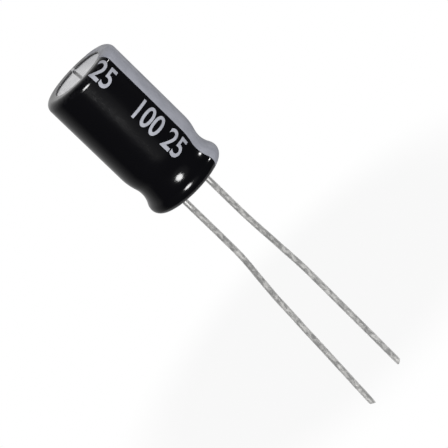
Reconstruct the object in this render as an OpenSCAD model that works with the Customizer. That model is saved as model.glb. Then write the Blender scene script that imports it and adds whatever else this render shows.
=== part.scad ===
// Radial aluminium electrolytic capacitor, standing on Z with its two leads pointing down.
// All sizes are in millimetres. The origin lies on the seating plane, midway between the leads.
// X runs from the anode lead, at -X, to the cathode lead, at +X, and the top of the can is up.

/* [Can] */
// Outside diameter of the bare can
can_d = 6.3; // [6:0.1:8]
// Length of the bare can, from its rolled foot to its top
can_h = 11.48; // [10:0.1:16]
// Thickness of the drawn side wall
can_wall = 0.2; // [0.15:0.01:0.22]
// Thickness of the top
can_top_t = 0.3; // [0.25:0.05:0.5]
// Outside radius of the edge round the top
can_top_r = 0.48; // [0.35:0.05:0.8]
// How far the foot stands out past the side wall
foot_bulge = 0.08; // [0.04:0.01:0.14]
// Outside radius of the foot, where the wall is rolled in under the seal
foot_r = 0.38; // [0.23:0.01:0.45]
// Inside diameter of the rolled foot
foot_hole_d = 4.9; // [4.6:0.1:5.2]

/* [Bead] */
// Depth of the bead that grips the seal, from the side wall
bead_depth = 0.55; // [0.3:0.01:0.65]
// Radius at the bottom of the bead
bead_wheel_r = 0.6; // [0.4:0.05:0.9]
// Radius of the gentle shoulder above the bead
bead_upper_r = 4.2; // [2.4:0.1:4.6]
// Radius of the shoulder between the bead and the foot
bead_lower_r = 0.5; // [0.4:0.05:1.2]

/* [Vent] */
// Length of the score line across the top
vent_len = 4.6; // [3:0.1:5]
// Depth of the score line
vent_depth = 0.13; // [0.05:0.01:0.2]
// Width of the score line at the surface
vent_w = 0.24; // [0.1:0.02:0.3]
// Turn of the score line from the plane of the leads, in degrees
vent_turn = 72; // [0:1:180]

/* [Sleeve] */
// Thickness of the shrunk sleeve
sleeve_t = 0.12; // [0.08:0.01:0.18]
// Radius of the sleeve where it bridges the bead
sleeve_bridge_r = 2.1; // [1.3:0.1:2.6]
// Diameter of the opening that the sleeve leaves in the top
sleeve_top_hole_d = 4.3; // [4:0.1:5]
// Diameter of the opening that the sleeve leaves in the foot
sleeve_foot_hole_d = 5.2; // [5:0.1:5.5]
// Width of the printed polarity stripe, in degrees round the sleeve
stripe_width = 100; // [60:1:130]
// Turn of the stripe's middle from the cathode lead, in degrees
stripe_turn = -12; // [-30:1:30]
// Thickness of the printed ink
ink_t = 0.015; // [0.01:0.005:0.03]

/* [Seal] */
// Height of the top of the rubber seal above the seating plane
seal_top = 3.2; // [3:0.1:4]
// Height of the underside of the seal above the seating plane
seal_face = 0.2; // [0.16:0.02:0.3]
// Diameter of the well round each lead in the underside
well_d = 1.5; // [1.2:0.1:1.8]
// Height of the roof of the wells above the seating plane
well_top = 0.75; // [0.6:0.05:0.9]

/* [Leads] */
// Distance between the two leads where they leave the seal
lead_pitch = 2.5; // [2:0.1:2.6]
// Diameter of a lead wire
lead_d = 0.5; // [0.4:0.05:0.6]
// Length of the anode lead below the seating plane, measured along the wire
anode_lead_len = 22.5; // [14:0.5:30]
// Length of the cathode lead below the seating plane, measured along the wire
cathode_lead_len = 22.1; // [14:0.5:30]
// Radius of the bends in the leads
lead_bend_r = 20; // [8:1:30]
// Straight of the anode lead down to its first bend
anode_run = 5.4; // [4:0.1:8]
// Lean of the anode lead away from the middle after that bend, in degrees
anode_lean = 6.5; // [1:0.1:12]
// Straight of the anode lead between its bends
anode_mid_run = 2.4; // [1:0.1:4]
// How far its second bend turns it back, in degrees
anode_back = 3; // [1:0.1:12]
// Straight of the cathode lead down to its first bend
cathode_run = 4.4; // [4:0.1:8]
// Lean of the cathode lead away from the middle after that bend, in degrees
cathode_lean = 2.7; // [1:0.1:12]
// Straight of the cathode lead between its bends
cathode_mid_run = 5.3; // [1:0.1:7]
// How far its second bend turns it back, in degrees
cathode_back = 3.3; // [1:0.1:12]
// Slant of the snipped ends, in degrees
snip_angle = 28; // [0:1:45]
// Diameter of the weld between wire and terminal
weld_d = 0.86; // [0.8:0.02:1]

/* [Terminals] */
// Diameter of the round part that passes through the seal
rod_d = 1; // [0.9:0.05:1.2]
// Height of the foot of the round part above the seating plane
rod_foot = 0.55; // [0.45:0.05:0.6]
// Length of the wedge between the round part and the flat tab
wedge_h = 0.5; // [0.3:0.05:0.6]
// Thickness of the flat tab in the winding
tab_t = 0.2; // [0.15:0.01:0.25]
// Width of the flat tab, in degrees round the winding
tab_arc = 60; // [30:15:90]

/* [Winding] */
// Radius of the hole left by the winding pin
core_r = 0.4; // [0.3:0.05:0.6]
// Thickness of each separator paper
paper_t = 0.05; // [0.04:0.005:0.06]
// Thickness of the cathode foil
cathode_foil_t = 0.05; // [0.03:0.005:0.06]
// Thickness of the etched anode foil
anode_foil_t = 0.1; // [0.08:0.005:0.12]
// Air between two layers of the winding
layer_gap = 0.012; // [0.01:0.002:0.02]
// How far the papers stand out past the foils at each end
paper_margin = 0.6; // [0.3:0.1:1]
// Room between the seal and the winding
winding_foot_room = 0.3; // [0.2:0.1:0.6]
// Room between the winding and the top of the can
winding_head_room = 0.4; // [0.2:0.1:0.8]
// Room between the taped winding and the side wall
winding_side_room = 0.16; // [0.1:0.02:0.3]
// Thickness of the closing tape
tape_t = 0.05; // [0.04:0.01:0.08]
// Height of the closing tape
tape_h = 4.5; // [3:0.1:6]

/* [Hidden] */
$fn = 96;

// Clearance between pieces that fit one round the other
fit_gap = 0.01;
// Overlap that makes a cutting shape run out past a face
cut_past = 1;
// Longest step along an arc of a section, in degrees
arc_step = 6;
// A bend or collar is this much thicker than the wire, whose straights end this far inside it
joint_swell = 0.001;
joint_lap = 0.05;

// The can: its surfaces are measured outward from the bare can's outside
can_r = can_d / 2;
can_foot_z = sleeve_t + fit_gap;
can_top_z = can_foot_z + can_h;
foot_arc_z = can_foot_z + foot_r;
foot_x = can_r + foot_bulge;
bead_spread = bead_wheel_r + bead_upper_r;
bead_low_spread = bead_wheel_r + bead_lower_r;
low_depth = bead_depth + foot_bulge;
bead_z = foot_arc_z + sqrt(low_depth * (2 * bead_low_spread - low_depth));
bead_top_z = bead_z + sqrt(bead_depth * (2 * bead_spread - bead_depth));
bead_c = [can_r - bead_depth + bead_wheel_r, bead_z];
upper_c = [can_r - bead_upper_r, bead_top_z];
lower_c = [foot_x - bead_lower_r, foot_arc_z];

// The sleeve lies on both shoulders and spans the bead with an arc of its own
sleeve_in = fit_gap;
sleeve_out = fit_gap + sleeve_t;
bridge_c = circles_meet(upper_c, bead_upper_r + sleeve_out + sleeve_bridge_r,
    lower_c, bead_lower_r + sleeve_out + sleeve_bridge_r);

// The winding: a turn holds a paper, the cathode foil, a paper and the anode foil
layer_t = [paper_t, cathode_foil_t, paper_t, anode_foil_t];
INNER_PAPER = 0;
CATHODE = 1;
OUTER_PAPER = 2;
ANODE = 3;
turn_pitch = sum(layer_t) + len(layer_t) * layer_gap;
wrap_step = 15;
turn = 360;
// Each tab lies on the outside of its own foil, at this angle along the winding
cathode_tab_at = 2 * turn;
anode_tab_at = 1.5 * turn;
tab_room = (tab_t + 2 * layer_gap) / (1 - tab_arc / 2 / turn);
winding_r = can_r - can_wall - winding_side_room - tape_t;
wrap_end = wrap_step * floor(
    (winding_r - core_r - turn_pitch - 2 * tab_room) / turn_pitch * turn / wrap_step);
winding_z = seal_top + winding_foot_room;
winding_h = can_top_z - can_top_t - winding_head_room - winding_z;
foil_lead_in = 6 * wrap_step;
foil_lead_out = 8 * wrap_step;

function sum(list, i = 0) = i < len(list) ? list[i] + sum(list, i + 1) : 0;

function clamp(x, low, high) = max(low, min(high, x));

// The point outside both centres that lies at r1 from c1 and r2 from c2, with c1 above c2
function circles_meet(c1, r1, c2, r2) =
    let (apart = norm(c2 - c1))
    let (along = (r1 * r1 - r2 * r2 + apart * apart) / (2 * apart))
    let (aside = sqrt(r1 * r1 - along * along))
    let (dir = (c2 - c1) / apart)
    c1 + along * dir + aside * [-dir[1], dir[0]];

// Direction from one point to another, in degrees
function heading(from, to) = atan2(to[1] - from[1], to[0] - from[0]);

// Points along an arc, in even steps of arc_step or less. skip leaves out the first ones.
function arc(centre, r, from, to, skip = 0) =
    let (steps = ceil(abs(to - from) / arc_step))
    [for (i = [skip : steps])
        let (a = from + (to - from) * i / steps)
        centre + r * [cos(a), sin(a)]];

// Half section of the closed solid whose surface lies grow outside the bare can, with its waist
// rolled round waist_c: the can, its inside, the seal and both faces of the sleeve are made of it
module can_section(grow, waist_c, waist_r) {
    low_end = heading(lower_c, waist_c);
    high_end = heading(upper_c, waist_c);
    foot = arc([foot_x - foot_r, foot_arc_z], foot_r + grow, -90, 0);
    lower = arc(lower_c, bead_lower_r + grow, 0, low_end, 1);
    waist = arc(waist_c, waist_r, low_end + 180, high_end + 180, 1);
    upper = arc(upper_c, bead_upper_r + grow, high_end, 0, 1);
    top = arc([can_r - can_top_r, can_top_z - can_top_r], can_top_r + grow, 0, 90);
    polygon(concat([[0, can_foot_z - grow]], foot, lower, waist, upper, top,
        [[0, can_top_z + grow]]));
}

// The same, rolled to the bead of the can itself
module beaded_section(grow) {
    can_section(grow, bead_c, bead_wheel_r - grow);
}

// The same, bridging the bead as the shrunk sleeve does
module bridged_section(grow) {
    can_section(grow, bridge_c, sleeve_bridge_r + sleeve_out - grow);
}

module sleeve() {
    color([0.05, 0.05, 0.06])
        rotate_extrude()
            difference() {
                bridged_section(sleeve_out);
                bridged_section(sleeve_in);
                translate([0, can_top_z - can_top_r])
                    square([sleeve_top_hole_d / 2, can_top_r + cut_past]);
                translate([0, -cut_past])
                    square([sleeve_foot_hole_d / 2, foot_arc_z + cut_past]);
            }
}

module polarity_stripe() {
    color([0.62, 0.63, 0.7])
        rotate([0, 0, stripe_turn - stripe_width / 2])
            rotate_extrude(angle = stripe_width)
                difference() {
                    bridged_section(sleeve_out + ink_t);
                    bridged_section(sleeve_out);
                    square([sleeve_top_hole_d / 2, can_top_z + cut_past]);
                    translate([0, -cut_past])
                        square([can_r + cut_past, foot_arc_z / 4 + cut_past]);
                }
}

// The score line of the vent: a V pressed across the top
module vent_line() {
    flare = 1 + cut_past / vent_depth;
    translate([0, 0, can_top_z])
        rotate([90, 0, 90])
            linear_extrude(height = vent_len, center = true)
                polygon([
                    [0, -vent_depth],
                    [flare * vent_w / 2, cut_past],
                    [-flare * vent_w / 2, cut_past]
                ]);
}

module can() {
    color([0.82, 0.83, 0.85])
        difference() {
            rotate_extrude()
                difference() {
                    beaded_section(0);
                    intersection() {
                        beaded_section(-can_wall);
                        square([can_r, can_top_z - can_top_t]);
                    }
                    square([foot_hole_d / 2, foot_arc_z]);
                }
            rotate([0, 0, vent_turn])
                vent_line();
        }
}

// Puts what follows on the two lead axes, the anode first
module at_lead(side) {
    translate([side * lead_pitch / 2, 0, 0])
        children();
}

module rubber_seal() {
    inside = -can_wall - fit_gap;
    color([0.12, 0.12, 0.12])
        difference() {
            rotate_extrude()
                union() {
                    intersection() {
                        beaded_section(inside);
                        square([can_r, seal_top]);
                    }
                    translate([0, seal_face])
                        square([foot_hole_d / 2 - fit_gap, foot_arc_z]);
                }
            for (side = [-1, 1])
                at_lead(side) {
                    cylinder(d = rod_d + 2 * fit_gap, h = seal_top + cut_past);
                    cylinder(d = well_d, h = well_top);
                }
        }
}

// Inner radius of a layer of the winding at an angle along it. The winding grows by one pitch a
// turn, and by the room of a tab over the turn in which it first passes outside that tab.
function wrap_r(angle, layer) =
    core_r
    + sum([for (i = [0 : 1 : layer - 1]) layer_t[i] + layer_gap])
    + turn_pitch * angle / turn
    + tab_room * past_tab(angle, layer, cathode_tab_at, CATHODE)
    + tab_room * past_tab(angle, layer, anode_tab_at, ANODE);

function past_tab(angle, layer, tab_at, tab_layer) =
    clamp((angle + (layer > tab_layer ? turn : 0) - tab_at) / turn, 0, 1);

// Section of a strip wound from one angle to another, on top of a layer's inner radius
module wound_strip(layer, lift, thick, from, to) {
    angles = [for (a = [from : wrap_step : to]) a];
    last = len(angles) - 1;
    inner = [for (a = angles) (wrap_r(a, layer) + lift) * [cos(a), sin(a)]];
    outer = [for (i = [last : -1 : 0])
        (wrap_r(angles[i], layer) + lift + thick) * [cos(angles[i]), sin(angles[i])]];
    polygon(concat(inner, outer));
}

module wound_sheet(layer, margin, from, to) {
    translate([0, 0, winding_z + margin])
        linear_extrude(winding_h - 2 * margin)
            wound_strip(layer, 0, layer_t[layer], from, to);
}

module separator_inner() {
    color([0.86, 0.8, 0.66])
        wound_sheet(INNER_PAPER, 0, 0, wrap_end);
}

module separator_outer() {
    color([0.86, 0.8, 0.66])
        wound_sheet(OUTER_PAPER, 0, 0, wrap_end);
}

module cathode_foil() {
    color([0.75, 0.76, 0.78])
        wound_sheet(CATHODE, paper_margin, foil_lead_in, wrap_end - foil_lead_out);
}

module anode_foil() {
    color([0.55, 0.56, 0.58])
        wound_sheet(ANODE, paper_margin, 2 * foil_lead_in, wrap_end - 2 * foil_lead_out);
}

module element_tape() {
    taped_r = wrap_r(wrap_end, OUTER_PAPER) + paper_t + layer_gap;
    color([0.85, 0.7, 0.35])
        translate([0, 0, winding_z + (winding_h - tape_h) / 2])
            difference() {
                cylinder(r = taped_r + tape_t, h = tape_h);
                translate([0, 0, -cut_past])
                    cylinder(r = taped_r, h = tape_h + 2 * cut_past);
            }
}

// A terminal: a round rod through the seal, pressed to a wedge and then to a thin tab that lies
// in the winding. Made for the lead at +X or -X, with the tab on its own layer.
module terminal(side, layer, tab_at) {
    rod_top = winding_z - wedge_h;
    tab_low = wrap_r(tab_at, layer) + layer_t[layer] + layer_gap;
    tab_mid = side * (tab_low + tab_t / 2 - lead_pitch / 2);
    tab_top = winding_z + winding_h - paper_margin;
    at_lead(side)
        translate([0, 0, rod_foot]) {
            cylinder(d = rod_d, h = rod_top - rod_foot);
            intersection() {
                cylinder(d = rod_d, h = rod_top + wedge_h - rod_foot);
                translate([0, rod_d, rod_top - rod_foot])
                    rotate([90, 0, 0])
                        linear_extrude(2 * rod_d)
                            polygon([[-rod_d / 2, 0], [rod_d / 2, 0], [tab_mid + tab_t / 2, wedge_h],
                                [tab_mid - tab_t / 2, wedge_h]]);
            }
        }
    translate([0, 0, winding_z - wedge_h / 4])
        linear_extrude(tab_top - winding_z + wedge_h / 4)
            wound_strip(layer, layer_t[layer] + layer_gap, tab_t,
                tab_at - tab_arc / 2, tab_at + tab_arc / 2);
}

module anode_terminal() {
    color([0.78, 0.79, 0.8])
        terminal(-1, ANODE, anode_tab_at);
}

module cathode_terminal() {
    color([0.78, 0.79, 0.8])
        terminal(1, CATHODE, cathode_tab_at);
}

// A wire that runs down from where it stands: straight, bent toward +X, and so on to its end.
// path holds [length of straight, angle of the bend after it], and the rest is straight.
module wire(path, rest, i = 0) {
    if (i == len(path)) {
        snipped_wire(rest);
    } else {
        run = path[i][0];
        bend = path[i][1];
        way = sign(bend);
        straight_wire(run);
        translate([0, 0, -run]) {
            translate([way * lead_bend_r, 0, 0])
                rotate([90, 0, 0])
                    rotate_extrude(angle = abs(bend), start = way > 0 ? 180 : -abs(bend))
                        translate([lead_bend_r, 0])
                            circle(r = lead_d / 2 + joint_swell);
            translate([way * lead_bend_r * (1 - cos(bend)), 0, -lead_bend_r * sin(abs(bend))])
                rotate([0, -bend, 0])
                    wire(path, rest, i + 1);
        }
    }
}

// A straight that ends inside the joints above and below it
module straight_wire(run) {
    translate([0, 0, -run - joint_lap])
        cylinder(d = lead_d, h = run + 2 * joint_lap);
}

// The last straight of a wire, cut on the slant
module snipped_wire(run) {
    slant = lead_d * tan(snip_angle);
    difference() {
        straight_wire(run);
        translate([0, 0, -run + slant / 2])
            rotate([0, snip_angle, 0])
                translate([0, 0, -lead_d])
                    cube([4 * lead_d, 4 * lead_d, 2 * lead_d], center = true);
    }
}

// The weld: a collar under the terminal that flares down into the wire
module weld() {
    flare = (weld_d - lead_d) / 2 - joint_swell;
    rotate_extrude()
        difference() {
            square([weld_d / 2, rod_foot]);
            translate([weld_d / 2, 0])
                circle(flare);
        }
}

function wire_spent(path, i = 0) = i == len(path) ? 0
    : path[i][0] + lead_bend_r * abs(path[i][1]) * PI / 180 + wire_spent(path, i + 1);

module lead(side, path, length) {
    at_lead(side) {
        weld();
        wire(path, length - wire_spent(path));
    }
}

// The anode lead swings out below a long straight, and then half way back
anode_path = [[anode_run, -anode_lean], [anode_mid_run, anode_back]];
// The cathode lead leans out a little and straightens again
cathode_path = [[cathode_run, cathode_lean], [cathode_mid_run, -cathode_back]];

module anode_lead() {
    color([0.8, 0.8, 0.8])
        lead(-1, anode_path, anode_lead_len);
}

module cathode_lead() {
    color([0.8, 0.8, 0.8])
        lead(1, cathode_path, cathode_lead_len);
}

sleeve();
polarity_stripe();
can();
rubber_seal();
anode_terminal();
cathode_terminal();
anode_lead();
cathode_lead();
anode_foil();
cathode_foil();
separator_inner();
separator_outer();
element_tape();
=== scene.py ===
"""Looks of a small radial electrolytic capacitor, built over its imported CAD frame.

The capacitor stands on Z with its leads down. Sizes and places below are in millimetres, and turns
in degrees from +X. Each class is one sub-assembly: it holds its own sizes, builds its meshes and
dresses them. A piece that stands for a CAD node follows that node's section with finer rings,
rounded cut edges and the marks that its making leaves.
"""

import logging
import math
from bisect import bisect_right
from collections.abc import Callable, Sequence
from dataclasses import dataclass, field
from enum import Enum

import bmesh
import bpy
from mathutils import Matrix, Vector, noise
from mathutils.geometry import tessellate_polygon


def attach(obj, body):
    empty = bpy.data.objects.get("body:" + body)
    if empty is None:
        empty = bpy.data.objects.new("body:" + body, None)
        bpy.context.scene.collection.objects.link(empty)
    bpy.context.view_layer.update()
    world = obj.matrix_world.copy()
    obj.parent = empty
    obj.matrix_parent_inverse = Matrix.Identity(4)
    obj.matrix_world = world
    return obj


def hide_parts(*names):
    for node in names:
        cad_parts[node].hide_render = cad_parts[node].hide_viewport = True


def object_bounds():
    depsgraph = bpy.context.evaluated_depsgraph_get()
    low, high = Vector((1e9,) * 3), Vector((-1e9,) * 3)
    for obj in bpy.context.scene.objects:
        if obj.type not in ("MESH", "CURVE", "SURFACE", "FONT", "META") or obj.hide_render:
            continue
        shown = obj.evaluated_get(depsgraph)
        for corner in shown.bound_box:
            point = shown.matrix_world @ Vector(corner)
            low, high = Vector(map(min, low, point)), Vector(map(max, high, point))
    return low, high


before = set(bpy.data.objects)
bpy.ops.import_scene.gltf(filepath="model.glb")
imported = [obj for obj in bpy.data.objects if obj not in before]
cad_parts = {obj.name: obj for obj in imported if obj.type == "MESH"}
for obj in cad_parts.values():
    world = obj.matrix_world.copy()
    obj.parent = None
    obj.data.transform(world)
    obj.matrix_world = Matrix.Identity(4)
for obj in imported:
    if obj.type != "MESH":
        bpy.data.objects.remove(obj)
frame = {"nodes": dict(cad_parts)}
CAD_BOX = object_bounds()

MM = 0.001  # metres in a millimetre
ROOT = "root"  # the one body
POLE = 0.001  # radius at which a disc starts
CREASE = 40.0  # edges that turn further than this stay sharp
FLAT_STEP = 0.08  # longest step on the film's flat faces
TOP_FACE = (11.3, 11.5)  # heights between which marks on the top fade in
log = logging.getLogger("capacitor")

Point = tuple[float, float]
Limits = tuple[float, float]
Colour = tuple[float, float, float]
Shape = Callable[[float, float, float], Point]
Socket = bpy.types.NodeSocket
Source = Socket | float | tuple[float, ...]


# Geometry


def smooth(low: float, high: float, x: float) -> float:
    """A soft step.

    Args:
        low: Where the step starts.
        high: Where it ends. It may lie below low.
        x: The value to place on the step.

    Returns:
        0 before the step, 1 after it, and a smooth rise between.
    """
    t = min(1.0, max(0.0, (x - low) / (high - low)))
    return t * t * (3 - 2 * t)


def arc(centre: Point, radius: float, start: float, end: float, step: float = 3.0) -> list[Point]:
    """Points along an arc of a section.

    Args:
        centre: Centre of the arc, as radius and height.
        radius: Radius of the arc.
        start: Angle of its first point.
        end: Angle of its last point.
        step: Longest step between points, in degrees.

    Returns:
        The points, both ends included.
    """
    count = max(1, math.ceil(abs(end - start) / step))
    turns = [math.radians(start + (end - start) * i / count) for i in range(count + 1)]
    return [(centre[0] + radius * math.cos(t), centre[1] + radius * math.sin(t)) for t in turns]


def line(start: Point, end: Point, step: float = 0.25) -> list[Point]:
    """Points along a straight stretch of a section.

    Args:
        start: First point.
        end: Last point.
        step: Longest step between points.

    Returns:
        The points, both ends included.
    """
    count = max(1, math.ceil(math.dist(start, end) / step))
    return [
        (start[0] + (end[0] - start[0]) * i / count, start[1] + (end[1] - start[1]) * i / count)
        for i in range(count + 1)
    ]


def heading(start: Point, end: Point) -> float:
    """Direction from one point to another, in degrees."""
    return math.degrees(math.atan2(end[1] - start[1], end[0] - start[0]))


def rise(depth: float, reach: float) -> float:
    """Way up between the centres of two touching arcs, reach apart and depth less than that aside."""
    return math.sqrt(depth * (2 * reach - depth))


def polar(radius: float, turn: float, height: float) -> Vector:
    """A point at a radius, a turn in degrees and a height."""
    t = math.radians(turn)
    return Vector((radius * math.cos(t), radius * math.sin(t), height))


def ripple(x: float, y: float, z: float) -> float:
    """Smooth noise at a place, from -1 to 1."""
    return noise.noise(Vector((x, y, z)))


def put(name: str, data: bpy.types.ID) -> bpy.types.Object:
    """Makes an object and links it to the scene.

    Args:
        name: Its name.
        data: Its mesh, curve, camera or lamp.

    Returns:
        The object.
    """
    made = bpy.data.objects.new(name, data)
    bpy.context.scene.collection.objects.link(made)
    return made


class Maker:
    """Gathers the points and faces of one piece, and makes an object of them."""

    def __init__(self) -> None:
        """Starts with nothing made."""
        self.points: list[Vector] = []
        self.faces: list[tuple[int, ...]] = []

    def row(self, points: Sequence[Vector]) -> list[int]:
        """Adds a row of points.

        Args:
            points: The points, in millimetres.

        Returns:
            Their numbers.
        """
        first = len(self.points)
        self.points.extend(points)
        return list(range(first, len(self.points)))

    def skin(
        self, rows: Sequence[Sequence[Vector]], closed: bool = True, looped: bool = False
    ) -> list[list[int]]:
        """Covers the strips between rows of as many points.

        Args:
            rows: The rows, one after the other.
            closed: Whether the last point of a row joins its first.
            looped: Whether the last row joins the first.

        Returns:
            The numbers of each row's points, for cap.
        """
        made = [self.row(row) for row in rows]
        count = len(rows[0])
        for low, high in zip(made, made[1:] + made[:1] if looped else made[1:]):
            for i in range(count if closed else count - 1):
                j = (i + 1) % count
                self.faces.append((low[i], low[j], high[j], high[i]))
        return made

    def cap(self, row: Sequence[int]) -> None:
        """Closes a row with one face."""
        self.faces.append(tuple(row))

    def lathe(
        self,
        outline: Sequence[Point],
        steps: int,
        shape: Shape | None = None,
        closed: bool = False,
        centre: Point = (0.0, 0.0),
    ) -> None:
        """Turns an outline round an upright axis.

        Args:
            outline: Points of the section, as radius and height.
            steps: Points in each ring.
            shape: Moves a point of a ring, from its radius, height and turn to a new radius and
                height.
            closed: Whether the last ring joins the first.
            centre: Where the axis stands.
        """
        axis = Vector((*centre, 0.0))
        rings = []
        for r, z in outline:
            ring = []
            for i in range(steps):
                turn = 360.0 * i / steps
                at = shape(r, z, turn) if shape else (r, z)
                ring.append(axis + polar(at[0], turn, at[1]))
            rings.append(ring)
        self.skin(rings, looped=closed)

    def plate(self, height: float, loops: Sequence[Sequence[Vector]]) -> None:
        """Fills a flat face with holes.

        Args:
            height: Height of the face.
            loops: Its outer edge, and then the edge of each hole.
        """
        flat = [[Vector((p.x, p.y, height)) for p in loop] for loop in loops]
        row = self.row([p for loop in flat for p in loop])
        self.faces.extend(tuple(row[i] for i in face) for face in tessellate_polygon(flat))

    def piece(self, name: str, rides: bool = True) -> bpy.types.Object:
        """Makes the object.

        Args:
            name: Its name.
            rides: Whether it rides on the one body.

        Returns:
            The object, smooth-shaded but for its sharp edges, in metres.
        """
        mesh = bpy.data.meshes.new(name)
        mesh.from_pydata([tuple(p * MM) for p in self.points], [], self.faces)
        bm = bmesh.new()
        bm.from_mesh(mesh)
        bmesh.ops.remove_doubles(bm, verts=bm.verts, dist=1e-4 * MM)
        bmesh.ops.recalc_face_normals(bm, faces=bm.faces)
        bm.to_mesh(mesh)
        bm.free()
        mesh.shade_smooth()
        mesh.set_sharp_from_angle(angle=math.radians(CREASE))
        made = put(name, mesh)
        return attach(made, ROOT) if rides else made


# Finishes


class Wiring:
    """Adds nodes to one node tree and joins them."""

    def __init__(self, tree: bpy.types.NodeTree) -> None:
        """Takes the tree."""
        self.tree = tree

    def add(self, kind: str, *sources: Source, **settings: Source | str) -> bpy.types.Node:
        """Adds a node.

        Args:
            kind: Blender's name for its type.
            sources: What its first sockets take, in their order.
            settings: Its properties, and what a socket takes whose name has a capital.

        Returns:
            The node.
        """
        node = self.tree.nodes.new(kind)
        for key, value in settings.items():
            if key[0].isupper():
                self.join(value, node.inputs[key])
            else:
                setattr(node, key, value)
        for source, socket in zip(sources, node.inputs):
            self.join(source, socket)
        return node

    def join(self, source: Source, socket: Socket) -> None:
        """Gives a socket its value.

        Args:
            source: Another socket, which is linked, or a plain value, which is set.
            socket: The socket that takes it.
        """
        if isinstance(source, Socket):
            self.tree.links.new(source, socket)
        else:
            socket.default_value = source

    def maths(self, operation: str, first: Source, *others: Source) -> Socket:
        """Puts values together, one after the other.

        Args:
            operation: Blender's name for what is done with two values.
            first: The first value.
            others: The values that follow, none where the operation takes only one.

        Returns:
            The outcome.
        """
        for value in others or (0.0,):
            first = self.add("ShaderNodeMath", first, value, operation=operation).outputs[0]
        return first

    def plus(self, *values: Source) -> Socket:
        """Sum of values."""
        return self.maths("ADD", *values)

    def minus(self, *values: Source) -> Socket:
        """First value less the others."""
        return self.maths("SUBTRACT", *values)

    def times(self, *values: Source) -> Socket:
        """Product of values."""
        return self.maths("MULTIPLY", *values)

    def most(self, *values: Source) -> Socket:
        """Largest of values."""
        return self.maths("MAXIMUM", *values)

    def least(self, *values: Source) -> Socket:
        """Smallest of values."""
        return self.maths("MINIMUM", *values)


class Recipe(Wiring):
    """Puts one procedural material together, over coordinates in millimetres."""

    def __init__(self, name: str, **constants: float) -> None:
        """Starts a material.

        Args:
            name: Its name.
            constants: Values for the shader's own sockets, with _ for a space in their names.
        """
        self.material = bpy.data.materials.new(name)
        self.material.use_nodes = True
        super().__init__(self.material.node_tree)
        self.shader = self.tree.nodes["Principled BSDF"]
        for key, value in constants.items():
            self.shader.inputs[key.replace("_", " ")].default_value = value
        self.place = self.add("ShaderNodeTexCoord").outputs["Object"]
        self.bumps: Socket | None = None

    def stretched(self, per_mm: float | Sequence[float]) -> Socket:
        """Coordinates that count grains in a millimetre, one number or one for each axis."""
        scale = tuple(g / MM for g in (per_mm if isinstance(per_mm, Sequence) else (per_mm,) * 3))
        return self.add("ShaderNodeVectorMath", self.place, scale, operation="MULTIPLY").outputs[0]

    def grain(
        self, per_mm: float | Sequence[float], detail: float = 3.0, rough: float = 0.5, kink: float = 0.0
    ) -> Socket:
        """Soft noise round 0.5: its grains, its finer layers, their strength, and its distortion."""
        place, shape = self.stretched(per_mm), {"Detail": detail, "Roughness": rough, "Distortion": kink}
        return self.add("ShaderNodeTexNoise", place, Scale=1.0, **shape).outputs["Fac"]

    def cells(self, per_mm: float) -> Socket:
        """Distance to scattered points, so many in a millimetre, for pits and specks."""
        return self.add("ShaderNodeTexVoronoi", self.stretched(per_mm), Scale=1.0).outputs["Distance"]

    def axis(self, index: int) -> Socket:
        """One coordinate in millimetres, 0 for X to 2 for Z."""
        return self.add("ShaderNodeSeparateXYZ", self.stretched(1.0)).outputs[index]

    def reach(self) -> Socket:
        """Distance from the upright axis, in millimetres."""
        flat = self.stretched((1.0, 1.0, 0.0))
        return self.add("ShaderNodeVectorMath", flat, operation="LENGTH").outputs["Value"]

    def beside(self, turn: float) -> tuple[Socket, Socket]:
        """Where a point lies by a line through the axis.

        Args:
            turn: Turn of the line, in degrees.

        Returns:
            Its way along the line, and its way to the right of it.
        """
        x, y = self.axis(0), self.axis(1)
        c, s = math.cos(math.radians(turn)), math.sin(math.radians(turn))
        along = self.plus(self.times(x, c), self.times(y, s))
        return along, self.plus(self.times(x, s), self.times(y, -c))

    def spread(
        self, value: Source, low: float, high: float, start: float = 0.0, end: float = 1.0
    ) -> Socket:
        """Maps values from low to high smoothly to start to end, and holds them between."""
        ends = (low, high, start, end)
        return self.add("ShaderNodeMapRange", value, *ends, interpolation_type="SMOOTHSTEP").outputs[0]

    def blend(self, part: Source, first: Source, second: Source) -> Socket:
        """Mixes two colours.

        Args:
            part: How much of the second shows, from 0 to 1.
            first: Colour or socket.
            second: Colour or socket.

        Returns:
            The mixed colour.
        """
        node = self.add("ShaderNodeMix", part, data_type="RGBA")
        for colour, socket in ((first, node.inputs[6]), (second, node.inputs[7])):
            self.join((*colour, 1.0) if isinstance(colour, tuple) else colour, socket)
        return node.outputs[2]

    def bump(self, height: Source, depth: float) -> None:
        """Adds relief.

        Args:
            height: The relief, from 0 to 1.
            depth: Its depth in millimetres.
        """
        node = self.add("ShaderNodeBump", Distance=depth * MM, Height=height)
        if self.bumps:
            self.join(self.bumps, node.inputs["Normal"])
        self.bumps = node.outputs[0]

    def finish(self, colour: Source, roughness: Source) -> bpy.types.Material:
        """Joins colour, roughness and relief to the shader.

        Args:
            colour: Base colour.
            roughness: Roughness.

        Returns:
            The finished material.
        """
        self.join(colour, self.shader.inputs["Base Color"])
        self.join(roughness, self.shader.inputs["Roughness"])
        if self.bumps:
            self.join(self.bumps, self.shader.inputs["Normal"])
        return self.material


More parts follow.
